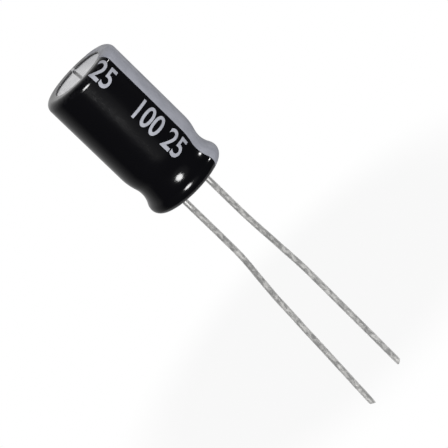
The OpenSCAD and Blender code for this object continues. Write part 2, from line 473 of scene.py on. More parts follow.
@dataclass(frozen=True)
class ShrunkFilm:
    """Black glossy film, shrunk on: faint lines along the pull, dust, and rubbed edges.

    Its lip carries a painted highlight, a pale streak where the far end of the vent's score line rises under
    it, and a paler ring painted round the top opening as painted reflection.
    """

    score_turn: float
    black: Colour = (0.0028, 0.0028, 0.0037)
    rubbed: Colour = (0.014, 0.014, 0.016)
    # Painted highlight on the lip at the far end of the score line.
    notch_glint: Colour = (0.66, 0.66, 0.67)
    # Painted reflection for the ring round the top opening.
    lip_reflection: Colour = (0.10, 0.10, 0.105)
    gloss: float = 0.12
    dull: float = 0.18
    lip_radii: Limits = (2.42, 2.18)
    glint_from: Limits = (1.9, 2.1)
    glint_to: Limits = (2.95, 2.7)
    # Where the painted highlight lies along and beside the score line.
    glint_half: Limits = (0.17, 0.10)
    glint_aside: float = 0.06

    def material(self) -> bpy.types.Material:
        """Makes the material.

        Returns:
            The finished material.
        """
        mix = Recipe("sleeve_film", IOR=1.5)
        smears = mix.grain((0.5, 0.5, 0.18), detail=4.0, kink=0.6)
        dust = mix.spread(mix.cells(3.1), 0.055, 0.03)
        height = mix.axis(2)
        edges = mix.most(mix.spread(height, 11.2, 11.7), mix.spread(height, 0.42, 0.05))
        worn = mix.times(edges, mix.spread(mix.grain(4.5, detail=5.0), 0.42, 0.68))
        mix.bump(mix.grain((9.0, 9.0, 0.35), detail=2.0), 0.0022)
        mix.bump(mix.grain(3.0, detail=2.0), 0.0035)
        mix.bump(mix.spread(mix.grain(40.0, detail=1.0), 0.3, 0.7), 0.0004)
        film = mix.blend(mix.most(worn, mix.times(dust, 0.5)), self.black, self.rubbed)
        top = mix.spread(height, *TOP_FACE)
        patchy = mix.spread(mix.grain(3.5, detail=4.0), 0.3, 0.6, 0.6, 1.0)
        # Painted reflection: a paler, patchy ring on the top face round the opening.
        lip = mix.times(mix.spread(mix.reach(), *self.lip_radii), top, patchy)
        # Painted highlight: a pale streak on the lip just beside the far end of the score line.
        along, aside = mix.beside(self.score_turn)
        off = mix.maths("ABSOLUTE", mix.minus(aside, self.glint_aside))
        notch_glint_mask = mix.times(
            mix.spread(along, *self.glint_from),
            mix.spread(along, *self.glint_to),
            mix.spread(off, *self.glint_half),
            mix.spread(mix.grain(7.0, detail=3.0), 0.25, 0.5, 0.5, 1.0),
            top,
        )
        colour = mix.blend(notch_glint_mask, mix.blend(lip, film, self.lip_reflection), self.notch_glint)
        rough = mix.plus(smears, mix.times(worn, 0.3))
        return mix.finish(colour, mix.spread(rough, 0.35, 0.8, self.gloss, self.dull))


@dataclass(frozen=True)
class PrintedInk:
    """Pale ink laid thinly on black film: soft mottle, pinholes and a satin face."""

    name: str
    ink: Colour
    thin: Colour
    satin: float = 0.38

    def material(self) -> bpy.types.Material:
        """Makes the material.

        Returns:
            The finished material.
        """
        mix = Recipe(self.name, IOR=1.48)
        cloud = mix.spread(mix.grain((1.6, 1.6, 0.9), detail=5.0, rough=0.6), 0.3, 0.7)
        weave = mix.spread(mix.grain(16.0, detail=2.0), 0.35, 0.65)
        pinhole = mix.spread(mix.cells(6.0), 0.1, 0.05)
        body = mix.plus(mix.times(cloud, 0.65), mix.times(weave, 0.35))
        bare = tuple(0.45 * c for c in self.thin)
        colour = mix.blend(pinhole, mix.blend(body, self.thin, self.ink), bare)
        mix.bump(weave, 0.0016)
        mix.bump(mix.grain((9.0, 9.0, 0.35), detail=2.0), 0.002)
        return mix.finish(colour, mix.spread(body, 0.2, 0.8, self.satin + 0.1, self.satin - 0.06))


@dataclass(frozen=True)
class DrawnAluminium:
    """Bright drawn can: pressed grain, faint rolling lines, stain, painted shade in the score line, and one
    side painted darker as shade.
    """

    score_turn: float
    bright: Colour = (0.88, 0.88, 0.89)
    # Tone of the random stain, also used for the painted shade on one side of the can.
    stain_and_shade: Colour = (0.62, 0.625, 0.65)
    # Painted shade for the inside of the score line.
    score_shade: Colour = (0.41, 0.41, 0.415)
    score_shade_half: Limits = (0.17, 0.09)
    score_shade_end: Limits = (2.15, 1.95)
    # Where the painted shade on one side starts and ends along X, and how much of it shows.
    shaded_from: Limits = (0.0, 1.2)
    shaded_part: float = 0.9

    def material(self) -> bpy.types.Material:
        """Makes the material.

        Returns:
            The finished material.
        """
        mix = Recipe("can_aluminium", Metallic=1.0, Anisotropic=0.25)
        stain = mix.spread(mix.grain(1.3, detail=6.0, rough=0.65, kink=0.4), 0.42, 0.78)
        rolled = mix.grain((1.2, 28.0, 28.0), detail=3.0, rough=0.6)
        mix.bump(rolled, 0.0028)
        mix.bump(mix.grain(11.0, detail=3.0, rough=0.6), 0.004)
        mix.bump(mix.spread(mix.cells(13.0), 0.02, 0.22), 0.001)
        # Painted shade: the score line is darkened along its length, with slightly ragged sides, fading out
        # toward the rim of the top.
        _, aside = mix.beside(self.score_turn)
        off = mix.plus(mix.maths("ABSOLUTE", aside), mix.times(stain, 0.03))
        top = mix.spread(mix.axis(2), *TOP_FACE)
        score_shade = mix.times(mix.spread(off, *self.score_shade_half), mix.spread(mix.reach(), *self.score_shade_end), top)
        # Painted shade: the can past x = 0 to 1.2 mm is mixed toward the stained tone, so one side of the top
        # reads darker.
        half = mix.spread(mix.axis(0), *self.shaded_from, 0.0, self.shaded_part)
        mottle = mix.spread(mix.grain((2.6, 5.0, 5.0), detail=3.0), 0.38, 0.66, 0.0, 0.75)
        metal = mix.blend(mix.most(mottle, stain, half), self.bright, self.stain_and_shade)
        return mix.finish(mix.blend(score_shade, metal, self.score_shade), mix.spread(rolled, 0.3, 0.7, 0.24, 0.4))


@dataclass(frozen=True)
class TinnedWire:
    """Tin over copper-clad steel: dull grey with bright and dark blotches, and drawing lines.

    The first millimetre below the seal is brighter and smoother, where handling hasn't dulled it.
    """

    dark: Colour = (0.37, 0.37, 0.365)
    light: Colour = (0.77, 0.765, 0.75)
    fresh_to: float = -1.25

    def material(self) -> bpy.types.Material:
        """Makes the material.

        Returns:
            The finished material.
        """
        mix = Recipe("tinned_wire", Metallic=0.9, Sheen_Weight=1.0, Sheen_Roughness=0.55)
        blotch = mix.spread(mix.grain((3.2, 3.2, 1.7), detail=5.0, rough=0.65, kink=0.5), 0.36, 0.64)
        fresh = mix.spread(mix.axis(2), self.fresh_to - 0.25, self.fresh_to + 0.2)
        lift = mix.most(blotch, mix.times(fresh, 0.75))
        drawn = mix.grain((22.0, 22.0, 0.9), detail=3.0, rough=0.6)
        lumps = mix.grain(5.0, detail=4.0, rough=0.6)
        mix.bump(lumps, 0.010)
        mix.bump(drawn, 0.003)
        tone = mix.times(lift, mix.spread(drawn, 0.2, 0.6, 0.8, 1.0))
        dull = mix.minus(mix.spread(lumps, 0.3, 0.7, 0.72, 0.88), mix.times(fresh, 0.32))
        return mix.finish(mix.blend(tone, self.dark, self.light), dull)


@dataclass(frozen=True)
class MouldedRubber:
    """Black moulded rubber with a fine grain and a pale bloom."""

    rubber: Colour = (0.018, 0.018, 0.019)
    bloom: Colour = (0.06, 0.06, 0.062)

    def material(self) -> bpy.types.Material:
        """Makes the material.

        Returns:
            The finished material.
        """
        mix = Recipe("seal_rubber", IOR=1.52)
        fine = mix.grain(34.0, detail=3.0, rough=0.6)
        patch = mix.spread(mix.grain(1.5, detail=5.0, rough=0.6), 0.45, 0.75)
        specks = mix.spread(mix.cells(9.0), 0.16, 0.05)
        mix.bump(fine, 0.006)
        mix.bump(mix.grain(6.0, detail=2.0), 0.008)
        cover = mix.most(mix.times(patch, 0.7), specks)
        return mix.finish(mix.blend(cover, self.rubber, self.bloom), mix.spread(fine, 0.3, 0.7, 0.58, 0.75))


@dataclass(frozen=True)
class SheetMetal:
    """Foil or pressed aluminium: two tones of a grain, which runs round or along the piece."""

    name: str
    light: Colour
    dark: Colour
    grains: tuple[float, float, float]
    roughness: float
    relief: float

    def material(self) -> bpy.types.Material:
        """Makes the material.

        Returns:
            The finished material.
        """
        mix = Recipe(self.name, Metallic=1.0)
        grain = mix.grain(self.grains, detail=4.0, rough=0.65)
        patch = mix.spread(mix.grain(1.1, detail=4.0), 0.4, 0.7)
        mix.bump(grain, self.relief)
        tone = mix.most(patch, mix.spread(grain, 0.4, 0.7))
        rough = mix.spread(grain, 0.3, 0.7, self.roughness - 0.08, self.roughness + 0.1)
        return mix.finish(mix.blend(tone, self.light, self.dark), rough)


@dataclass(frozen=True)
class FibreSheet:
    """Separator paper or closing tape: fibres over a soft cloud of tone."""

    name: str
    pale: Colour
    deep: Colour
    roughness: float
    fibre: float

    def material(self) -> bpy.types.Material:
        """Makes the material.

        Returns:
            The finished material.
        """
        mix = Recipe(self.name, IOR=1.5)
        fibres = mix.grain((30.0, 30.0, 6.0), detail=4.0, rough=0.7, kink=1.2)
        cloud = mix.spread(mix.grain(2.0, detail=4.0), 0.35, 0.7)
        mix.bump(fibres, self.fibre)
        tone = mix.times(cloud, mix.spread(fibres, 0.3, 0.65, 0.4, 1.0))
        rough = mix.spread(fibres, 0.3, 0.7, self.roughness, self.roughness + 0.12)
        return mix.finish(mix.blend(tone, self.pale, self.deep), rough)


def dress(
    piece: bpy.types.Object, material: bpy.types.Material, stands_for: str = ""
) -> None:
    """Gives a piece its finish, and says what it is.

    Args:
        piece: A new piece, or a CAD node.
        material: Its finish.
        stands_for: The CAD node that it stands for, if it does.
    """
    if piece.material_slots:
        for place in piece.material_slots:
            place.material = material
    else:
        piece.data.materials.append(material)
    if stands_for:
        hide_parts(stands_for)
    log.info("%s: %d faces, finish %s", piece.name, len(piece.data.polygons), material.name)


# The can and its sleeve


class Waist(Enum):
    """How a skin of the can passes its bead."""

    ROLLED = "pressed into the bead, as the can is"
    BRIDGED = "spanning the bead on its shoulders, as the film does"


@dataclass(frozen=True)
class CanSection:
    """Half section of the beaded can, from which every skin inside and outside it is made.

    The sizes are the part's own: radii and heights are those of the bare can's outside.
    """

    radius: float = 3.15
    height: float = 11.48
    top_corner: float = 0.48
    foot_bulge: float = 0.08
    foot_corner: float = 0.38
    bead_depth: float = 0.55
    bead_radius: float = 0.6
    upper_shoulder: float = 4.2
    lower_shoulder: float = 0.5
    film: float = 0.12
    film_gap: float = 0.01
    film_bridge: float = 2.1
    score_turn: float = 72.0

    @property
    def foot(self) -> float:
        """Height of the bare can's foot."""
        return self.film + self.film_gap

    @property
    def top(self) -> float:
        """Height of the bare can's top."""
        return self.foot + self.height

    @property
    def foot_centre(self) -> Point:
        """Centre of the rolled foot."""
        return self.radius + self.foot_bulge - self.foot_corner, self.foot + self.foot_corner

    @property
    def lower_centre(self) -> Point:
        """Centre of the shoulder under the bead."""
        return self.radius + self.foot_bulge - self.lower_shoulder, self.foot_centre[1]

    @property
    def bead_centre(self) -> Point:
        """Centre of the bead's own arc."""
        up = rise(self.bead_depth + self.foot_bulge, self.bead_radius + self.lower_shoulder)
        return self.radius - self.bead_depth + self.bead_radius, self.lower_centre[1] + up

    @property
    def upper_centre(self) -> Point:
        """Centre of the gentle shoulder above the bead."""
        up = rise(self.bead_depth, self.bead_radius + self.upper_shoulder)
        return self.radius - self.upper_shoulder, self.bead_centre[1] + up

    @property
    def bridge_centre(self) -> Point:
        """Centre of the arc on which the film spans the bead.

        Returns:
            Its radius and height.
        """
        skin = self.film_gap + self.film + self.film_bridge
        (r1, z1), (r2, z2) = self.upper_centre, self.lower_centre
        far, near = self.upper_shoulder + skin, self.lower_shoulder + skin
        apart = math.dist((r1, z1), (r2, z2))
        along = (far**2 - near**2 + apart**2) / (2 * apart)
        aside = math.sqrt(far**2 - along**2)
        dr, dz = (r2 - r1) / apart, (z2 - z1) / apart
        return r1 + along * dr - aside * dz, z1 + along * dz + aside * dr

    def wall(self, grow: float, waist: Waist) -> list[Point]:
        """The skin from the end of its foot arc up to the end of its top arc.

        Args:
            grow: How far the skin lies outside the bare can, or inside it if negative.
            waist: How it passes the bead.

        Returns:
            Points of the section, from the foot up.
        """
        if waist is Waist.ROLLED:
            centre, radius = self.bead_centre, self.bead_radius - grow
        else:
            centre = self.bridge_centre
            radius = self.film_bridge + self.film_gap + self.film - grow
        low, high = heading(self.lower_centre, centre), heading(self.upper_centre, centre)
        shoulder_end = (self.radius + grow, self.upper_centre[1])
        top_centre = (self.radius - self.top_corner, self.top - self.top_corner)
        return (
            arc(self.foot_centre, self.foot_corner + grow, -90, 0)
            + arc(self.lower_centre, self.lower_shoulder + grow, 0, low)[1:]
            + arc(centre, radius, low + 180, high + 180)[1:]
            + arc(self.upper_centre, self.upper_shoulder + grow, high, 0, 1.5)[1:]
            + line(shoulder_end, (self.radius + grow, top_centre[1]))[1:]
            + arc(top_centre, self.top_corner + grow, 0, 90)[1:]
        )


@dataclass
class FilmFace:
    """The outer face of the shrunk film, on which the stripe and the figures are printed."""

    section: CanSection
    top_hole: float
    foot_hole: float
    pull: float = 0.006
    waves: float = 0.0035
    puckers: float = 0.005
    puckered: tuple[Limits, Limits] = ((0.7, 1.3), (3.4, 2.2))
    top_puckers: float = 0.007
    top_ragged: float = 0.03
    foot_ragged: float = 0.02
    lip_melt: float = 0.02
    nick_back: float = 0.2
    nick_deep: float = 0.05
    nick_half: float = 3.4
    points: list[Point] = field(init=False)
    runs: list[float] = field(init=False)

    def __post_init__(self) -> None:
        """Measures the face from its top lip to its foot lip."""
        s = self.section
        wall = s.wall(s.film_gap + s.film, Waist.BRIDGED)
        top = line((self.top_hole + s.film / 2, wall[-1][1]), wall[-1], FLAT_STEP)
        foot = line(wall[0], (self.foot_hole + s.film / 2, wall[0][1]), FLAT_STEP)
        self.points = top[:-1] + wall[::-1] + foot[1:]
        self.runs = [0.0]
        for a, b in zip(self.points, self.points[1:]):
            self.runs.append(self.runs[-1] + math.dist(a, b))

    def shape(self, radius: float, height: float, turn: float) -> Point:
        """Pulls a point of the film a little inward, as the shrinking leaves it.

        Args:
            radius: Its radius.
            height: Its height.
            turn: Its turn.

        Returns:
            Its new radius and height.
        """
        s = self.section
        at = polar(1.0, turn, 0.0)
        slow = 0.5 + 0.5 * ripple(at.x * 1.9, at.y * 1.9, height * 0.33)
        tight = 0.5 + 0.5 * ripple(at.x * 11, at.y * 11, height * 0.5)
        ragged = noise.noise(at * 3.1) + 0.5 * noise.noise(at * 9.7)
        below, above = self.puckered
        in_waist = smooth(*below, height) * smooth(*above, height)
        on_top = smooth(0.5, 0.2, s.top - height)
        lip = smooth(self.top_hole + 0.5, self.top_hole + 0.05, radius) * on_top
        under = smooth(self.foot_hole + 0.25, self.foot_hole + 0.02, radius) * smooth(0.4, 0.2, height)
        outer = smooth(s.top, s.top + s.film, height)
        nick = lip * math.exp(-((math.remainder(turn - s.score_turn, 360.0) / self.nick_half) ** 2))
        inward = self.pull + self.waves * slow + self.puckers * tight * in_waist
        back = self.top_ragged * ragged * lip
        low = self.top_puckers * tight * on_top
        return (
            radius - inward * (1 - on_top) + back + self.nick_back * nick + self.foot_ragged * ragged * under,
            height - low - self.lip_melt * lip * outer - self.nick_deep * nick * outer,
        )

    def place(self, run: float, turn: float, lift: float) -> Vector:
        """A point on the face, or a little off it.

        Args:
            run: Way along the face from its top lip.
            turn: Turn round the can.
            lift: Height off the film.

        Returns:
            The point.
        """
        i = min(max(bisect_right(self.runs, run) - 1, 0), len(self.points) - 2)
        (r0, z0), (r1, z1) = self.points[i], self.points[i + 1]
        step = self.runs[i + 1] - self.runs[i]
        t = (run - self.runs[i]) / step
        r, z = self.shape(r0 + (r1 - r0) * t, z0 + (z1 - z0) * t, turn)
        return polar(r - (z1 - z0) / step * lift, turn, z + (r1 - r0) / step * lift)

    def run_at(self, height: float) -> float:
        """Finds a height on the side wall.

        Args:
            height: The height.

        Returns:
            Way to it along the face, from the top lip.
        """
        for i, (_, z) in enumerate(self.points):
            if z <= height and self.runs[i] > 1.0:
                return self.runs[i] - (height - z)
        return self.runs[-1]


@dataclass
class PrintedSleeve:
    """The shrunk film with its polarity stripe and a column of plain figures.

    Its outer face follows a section of its own, which the lamp's glints in the photograph ask for,
    and its inner face lies on the can.
    """

    section: CanSection
    can: CanSection
    top_hole: float = 2.15
    foot_hole: float = 2.6
    steps: int = 288
    stripe_from: float = -62.8
    stripe_to: float = 38.0
    stripe_start: float = 0.03
    stripe_steps: int = 100
    stripe_ragged: float = 0.16
    ink: float = 0.012
    ink_rim: float = 0.001
    figures: str = "100 25"
    figures_from: float = -100.6
    figures_high: float = 1.8
    figures_long: float = 4.6
    figures_top: float = 7.45
    figures_pitch: float = 7.25
    figures_bold: float = 0.014
    figures_inset: float = 0.06
    figures_facet: float = 0.13
    face: FilmFace = field(init=False)

    def __post_init__(self) -> None:
        """Measures the printed face."""
        self.face = FilmFace(self.section, self.top_hole, self.foot_hole)

    def film(self) -> bpy.types.Object:
        """Makes the film, with rounded lips round both openings.

        Returns:
            The piece.
        """
        s = self.section
        half = s.film / 2
        inner = self.can.wall(s.film_gap, Waist.BRIDGED)
        outer = self.face.points
        top_lip = arc((self.top_hole + half, outer[0][1] - half), half, 270, 90, 20)
        foot_lip = arc((self.foot_hole + half, outer[-1][1] + half), half, 270, 90, 20)
        loop = (
            top_lip[:-1]
            + outer
            + foot_lip[1:]
            + line(foot_lip[-1], inner[0], FLAT_STEP)[1:-1]
            + inner
            + line(inner[-1], top_lip[0], FLAT_STEP)[1:-1]
        )
        make = Maker()
        make.lathe(loop, self.steps, self.face.shape, closed=True)
        return make.piece("sleeve_film")

    def stripe(self) -> bpy.types.Object:
        """Makes the stripe: a skin of ink with soft, slightly ragged sides.

        Returns:
            The piece.
        """
        start, end = self.stripe_start, self.face.runs[-1]
        count = math.ceil((end - start) / 0.07)
        turns = self.stripe_steps
        make = Maker()
        rows = []
        for i in range(count + 1):
            run = start + (end - start) * i / count
            near = self.stripe_from + self.stripe_ragged * ripple(run * 2.3, 0.0, 0.0)
            far = self.stripe_to + self.stripe_ragged * ripple(run * 2.3, 5.0, 0.0)
            row = []
            for j in range(-1, turns + 2):
                rim = j in (-1, turns + 1) or i in (0, count)
                k = min(max(j, 0), turns)
                lift = self.ink_rim if rim else self.ink
                row.append(self.face.place(run, near + (far - near) * k / turns, lift))
            rows.append(row)
        make.skin(rows, closed=False)
        return make.piece("polarity_stripe_ink")

    def figure_mesh(self) -> bmesh.types.BMesh:
        """Draws the figures flat.

        Returns:
            Their mesh: X along the row and Y up their height, from 0 to their size.
        """
        curve = bpy.data.curves.new("figures", "FONT")
        curve.body = self.figures
        curve.offset = self.figures_bold
        curve.resolution_u = 5
        source = put("figures", curve)
        bpy.context.view_layer.update()
        flat = bpy.data.meshes.new_from_object(source)
        bpy.data.objects.remove(source)
        bm = bmesh.new()
        bm.from_mesh(flat)
        bpy.data.meshes.remove(flat)
        bmesh.ops.triangulate(bm, faces=bm.faces)
        low = Vector((min(v.co.x for v in bm.verts), min(v.co.y for v in bm.verts)))
        high = Vector((max(v.co.x for v in bm.verts), max(v.co.y for v in bm.verts)))
        for v in bm.verts:
            v.co.x = (v.co.x - low.x) / (high.x - low.x) * self.figures_long
            v.co.y = (v.co.y - low.y) / (high.y - low.y) * self.figures_high
        return bm

    def printed_figures(self, name: str, top: float) -> bpy.types.Object:
        """Prints one row of figures, read from the top down with their heads to the stripe.

        Args:
            name: Name of the piece.
            top: Height on the wall at which the row starts. Past the top it is cut at the lip.

        Returns:
            The piece.
        """
        bm = self.figure_mesh()
        start = self.face.run_at(self.figures_top) - (top - self.figures_top)
        cut = self.figures_inset - start
        if cut > 0:
            all_parts = bm.verts[:] + bm.edges[:] + bm.faces[:]
            bmesh.ops.bisect_plane(
                bm, geom=all_parts, plane_co=(cut, 0, 0), plane_no=(1, 0, 0), clear_inner=True
            )
        for _ in range(5):
            long = [e for e in bm.edges if e.calc_length() > self.figures_facet]
            if long:
                bmesh.ops.subdivide_edges(bm, edges=long, cuts=1)
                bmesh.ops.triangulate(bm, faces=[f for f in bm.faces if len(f.verts) > 3])
        wall = self.section.radius + self.section.film + self.section.film_gap
        for v in bm.verts:
            turn = self.figures_from + math.degrees(v.co.y / wall)
            v.co = self.face.place(start + v.co.x, turn, self.ink) * MM
        mesh = bpy.data.meshes.new(name)
        bmesh.ops.recalc_face_normals(bm, faces=bm.faces)
        bm.to_mesh(mesh)
        bm.free()
        mesh.shade_smooth()
        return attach(put(name, mesh), ROOT)

    def build(self) -> None:
        """Makes and dresses the film and its print."""
        stripe_ink = PrintedInk("stripe_ink", ink=(0.40, 0.41, 0.465), thin=(0.30, 0.31, 0.355))
        figure_ink = PrintedInk("figure_ink", ink=(0.45, 0.46, 0.51), thin=(0.31, 0.32, 0.36))
        film = ShrunkFilm(self.section.score_turn)
        dress(self.film(), film.material(), "sleeve")
        dress(self.stripe(), stripe_ink.material(), "polarity_stripe")
        print_ink = figure_ink.material()
        rows = {"figures_lower": self.figures_top, "figures_upper": self.figures_top + self.figures_pitch}
        for name, top in rows.items():
            dress(self.printed_figures(name, top), print_ink)


@dataclass
class DrawnCan:
    """The aluminium can: beaded wall, rolled foot and scored top."""

    section: CanSection
    wall: float = 0.2
    top_thick: float = 0.3
    foot_hole: float = 2.45
    score_long: float = 4.6
    score_deep: float = 0.12
    score_wide: float = 0.24
    score_lip: float = 0.012
    score_lip_off: float = 0.72
    score_lip_half: float = 0.06
    dish: float = 0.012
    dish_radii: Limits = (1.9, 0.3)
    disc: float = 2.4

    def scored(self, radius: float, height: float, turn: float) -> Point:
        """Presses the score line of the vent into the top.

        Args:
            radius: Radius of a point of the top.
            height: Its height.
            turn: Its turn.

        Returns:
            Its radius and new height.
        """
        t = math.radians(turn - self.section.score_turn)
        along, aside = abs(radius * math.cos(t)), abs(radius * math.sin(t))
        fade = smooth(self.score_long / 2, self.score_long / 2 - 0.1, along)
        deep = self.score_deep * max(0.0, 1 - aside / (self.score_wide / 2))
        off = (aside - self.score_lip_off * self.score_wide) / self.score_lip_half
        lip = self.score_lip * math.exp(-(off**2))
        return radius, height - self.dish * smooth(*self.dish_radii, radius) + fade * (lip - deep)

    def build(self) -> None:
        """Makes and dresses the can."""
        s = self.section
        outer = s.wall(0.0, Waist.ROLLED)
        inner = s.wall(-self.wall, Waist.ROLLED)
        inner_top = s.top - self.top_thick
        inside = [p for p in inner if p[1] < inner_top]
        foot_mid = (outer[0][1] + inner[0][1]) / 2
        half = self.wall / 2
        shell = (
            [(self.disc, s.top)]
            + outer[::-1]
            + arc((self.foot_hole + half, foot_mid), half, 270, 90, 20)
            + inside
            + [(inside[-1][0], inner_top), (POLE, inner_top)]
        )
        make = Maker()
        make.lathe(line((POLE, s.top), (self.disc, s.top), 0.03), 480, self.scored)
        make.lathe(shell, 160)
        dress(make.piece("can_shell"), DrawnAluminium(s.score_turn).material(), "can")


# Seal, leads and winding


class Side(Enum):
    """On which side of the can's middle a lead stands."""

    ANODE = -1
    CATHODE = 1


@dataclass
class SealPlug:
    """The rubber seal, with a well and a hole for each lead."""

    section: CanSection
    pitch: float = 2.5
    face: float = 0.2
    top: float = 3.2
    edge: float = 2.44
    well: float = 0.75
    roof: float = 0.75
    hole: float = 0.51
    fillet: float = 0.05
    inset: float = 0.21

    def build(self) -> None:
        """Makes and dresses the seal."""
        f = self.fillet
        centres = [side.value * self.pitch / 2 for side in Side]
        side_wall = [p for p in self.section.wall(-self.inset, Waist.ROLLED) if p[1] < self.top - f]
        rim = side_wall[-1][0]
        outside = (
            arc((self.edge - f, self.face + f), f, -90, 0, 15)
            + [(self.edge, side_wall[0][1])]
            + side_wall
            + arc((rim - f, self.top - f), f, 0, 90, 15)
        )
        bore = (
            arc((self.well + f, self.face + f), f, 270, 180, 15)
            + [(self.well, self.roof), (self.hole, self.roof), (self.hole, self.top)]
        )

        def loop(radius: float, steps: int, x: float = 0.0) -> list[Vector]:
            """One edge of a flat face."""
            return [Vector((x, 0.0, 0.0)) + polar(radius, 360.0 * i / steps, 0.0) for i in range(steps)]

        make = Maker()
        make.lathe(outside, 160)
        make.plate(self.face, [loop(outside[0][0], 160)] + [loop(bore[0][0], 64, x) for x in centres])
        make.plate(self.top, [loop(outside[-1][0], 160)] + [loop(self.hole, 64, x) for x in centres])
        for x in centres:
            make.lathe(bore, 64, centre=(x, 0.0))
        dress(make.piece("rubber_plug"), MouldedRubber().material(), "rubber_seal")


@dataclass
class WireLead:
    """One tinned lead: a weld collar under its terminal, two gentle bends and a snipped end.

    It is drawn a little thinner than its solid, because its rims are pale in the photograph.
    """

    side: Side
    node: str
    run: float
    lean: float
    mid_run: float
    back: float
    length: float
    pitch: float = 2.5
    wire: float = 0.25
    bend_radius: float = 20.0
    collar: float = 0.43
    collar_top: float = 0.55
    snip: float = 28.0
    step: float = 0.06
    around: int = 32
    thinner: float = 0.03
    lumps: float = 0.03
    sway: float = 0.014
    sways_from: Limits = (1.5, 5.0)
    sways_to: Limits = (0.0, 1.5)
    pinch: float = 0.1
    pinched: Limits = (0.5, 0.05)

    def slope(self, run: float) -> float:
        """Lean of the wire from straight down toward +X.

        Args:
            run: Way along the wire.

        Returns:
            The lean there, in degrees.
        """
        first = self.bend_radius * math.radians(abs(self.lean))
        second = self.bend_radius * math.radians(abs(self.back))
        out = min(1.0, max(0.0, (run - self.run) / first))
        home = min(1.0, max(0.0, (run - self.run - first - self.mid_run) / second))
        return self.lean * out + self.back * home

    def radius(self, run: float) -> float:
        """Radius of the wire, which flares out into the weld collar.

        Args:
            run: Way along the wire.

        Returns:
            The radius there.
        """
        flare = self.collar - self.wire
        if run >= 0:
            return self.wire
        if run <= -flare:
            return self.collar
        return self.collar - math.sqrt(flare**2 - run**2)

    def down(self, run: float) -> Vector:
        """Direction of the wire, at a way along it."""
        lean = math.radians(self.slope(run))
        return Vector((math.sin(lean), 0.0, -math.cos(lean)))

    def ring(self, run: float, at: Vector) -> list[Vector]:
        """Points round the wire, drawn back where it is snipped.

        Args:
            run: Way along the wire.
            at: Its middle there.

        Returns:
            The points.
        """
        side, left = self.side.value, self.length - run
        down = self.down(run)
        across = Vector((-down.z, 0.0, down.x))
        slant = math.tan(math.radians(self.snip)) * self.wire
        loose = smooth(*self.sways_from, run) * smooth(*self.sways_to, left)
        sway = self.sway * loose * ripple(run * 0.45, side * 3.0, 0.0)
        drift = self.sway * loose * ripple(run * 0.4, side * 3.0, 9.0)
        flat = 1 - self.pinch * smooth(*self.pinched, left)
        points = []
        for i in range(self.around):
            t = 2 * math.pi * i / self.around
            c, s = math.cos(t), math.sin(t)
            lump = 0.5 + 0.5 * ripple(c * 1.3, s * 1.3, run * 2.4 + 40 * side)
            r = self.radius(run) * (1 - self.thinner - self.lumps * lump)
            past = min(0.0, self.length - slant * (1 + side * c) - run)
            aside = across * (r * flat * c + sway) + Vector((0.0, r * s + drift, 0.0))
            points.append(at + aside + down * past)
        return points

    def build(self, material: bpy.types.Material) -> None:
        """Makes and dresses the lead.

        Args:
            material: Its finish.
        """
        make = Maker()
        at = Vector((self.side.value * self.pitch / 2, 0.0, self.collar_top))
        run = -self.collar_top
        rings = []
        while run < self.length + self.step:
            rings.append(self.ring(run, at))
            at = at + self.down(run) * self.step
            run += self.step
        rows = make.skin(rings)
        make.cap(rows[0])
        make.cap(rows[-1])
        dress(make.piece(self.node + "_wire"), material, self.node)


@dataclass
class WoundElement:
    """The element inside the can, whose CAD nodes keep their own shape."""

    nodes: dict[str, bpy.types.Object]

    def build(self) -> None:
        """Dresses the terminals, foils, papers and tape."""
        finishes = {
            SheetMetal(
                "terminal_aluminium", (0.82, 0.82, 0.83), (0.66, 0.66, 0.67), (3.0, 3.0, 14.0), 0.36, 0.004
            ): ("anode_terminal", "cathode_terminal"),
            SheetMetal(
                "etched_foil", (0.50, 0.505, 0.51), (0.36, 0.365, 0.37), (45.0, 45.0, 45.0), 0.66, 0.006
            ): ("anode_foil",),
            SheetMetal(
                "plain_foil", (0.76, 0.765, 0.775), (0.60, 0.605, 0.62), (4.0, 4.0, 40.0), 0.42, 0.003
            ): ("cathode_foil",),
            FibreSheet(
                "separator_paper", (0.80, 0.73, 0.58), (0.66, 0.58, 0.43), 0.78, 0.012
            ): ("separator_inner", "separator_outer"),
            FibreSheet("closing_tape", (0.72, 0.52, 0.20), (0.55, 0.36, 0.12), 0.3, 0.003): ("element_tape",),
        }
        for finish, names in finishes.items():
            material = finish.material()
            for name in names:
                dress(self.nodes[name], material)


# Studio and camera


@dataclass(frozen=True)
class PhotoCamera:
    """The photograph's viewpoint: a long lens a little above the part, turned so that the can lies
    to the upper left and its leads point to the lower right."""

    azimuth: float = -19.0
    elevation: float = 17.0
    distance: float = 160.0
    roll: float = 44.09
    aim_height: float = -4.076
    aim_aside: float = -0.388
    lens: float = 173.6
    sensor: float = 36.0

    @property
    def right(self) -> Vector:
        """The horizontal direction to the right of a level camera."""
        t = math.radians(self.azimuth)
        return Vector((math.cos(t), math.sin(t), 0.0))

    @property
    def away(self) -> Vector:
        """The horizontal direction in which the camera looks."""
        return Vector((-self.right.y, self.right.x, 0.0))

    def toward(self, aside: float, above: float) -> Vector:
        """Direction from the part to a place round the camera.

        Args:
            aside: Turn from the camera to its right, in degrees.
            above: Height above the horizon, in degrees.

        Returns:
            A unit vector.
        """
        a, e = math.radians(aside), math.radians(above)
        level = -self.away * math.cos(a) + self.right * math.sin(a)
        return level * math.cos(e) + Vector((0.0, 0.0, math.sin(e)))

    def build(self) -> None:
        """Makes the camera."""
        back = self.toward(0.0, self.elevation)
        upright = back.cross(self.right)
        roll = math.radians(self.roll)
        x = self.right * math.sin(roll) - upright * math.cos(roll)
        y = self.right * math.cos(roll) + upright * math.sin(roll)
        aim = self.right * self.aim_aside + Vector((0.0, 0.0, self.aim_height))
        data = bpy.data.cameras.new("camera")
        data.lens, data.sensor_width = self.lens, self.sensor
        data.clip_start, data.clip_end = 10 * MM, 5000 * MM
        turn = Matrix((x, y, back)).transposed().to_4x4()
        camera = put("camera", data)
        camera.matrix_world = Matrix.Translation((aim + back * self.distance) * MM) @ turn
        bpy.context.scene.camera = camera


